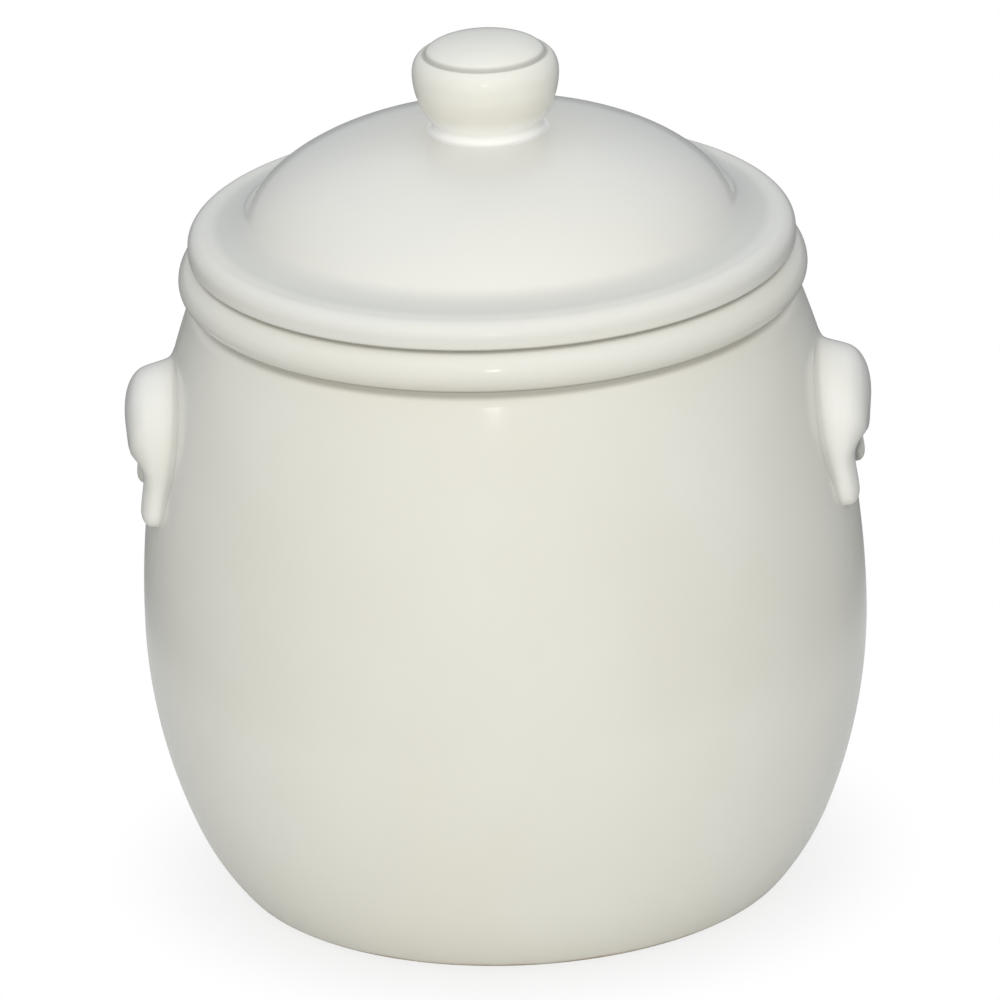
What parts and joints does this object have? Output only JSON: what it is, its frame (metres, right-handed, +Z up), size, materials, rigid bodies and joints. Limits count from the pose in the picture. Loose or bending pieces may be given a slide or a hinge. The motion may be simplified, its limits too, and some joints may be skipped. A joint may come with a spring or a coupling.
{
  "type": "cookie jar",
  "caption": "Round-bellied glazed stoneware cookie jar with a rolled rim, arched ear lugs to lift it by and a loose domed lid with a turned knob.",
  "frame": {"origin": "centre of the foot, on the surface the jar stands on", "axes": "+Z up along the jar's axis, the way the lid lifts; the ears stand 4 degrees in front of the X axis; -Y is the front"},
  "size_m": [0.2158, 0.21, 0.2551],
  "materials": {
    "glaze": "glossy off-white glaze over stoneware"
  },
  "bodies": {
    "jar": {"jar_body": "glaze", "left_ear": "glaze", "right_ear": "glaze"},
    "cover": {"lid": "glaze", "lid_flange": "glaze", "lid_knob": "glaze"}
  },
  "joints": [
    {"name": "lid_lift", "type": "slide", "parent": "jar", "child": "cover", "axis": [0, 0, 1], "range_m": [0, 0.2]}
  ]
}
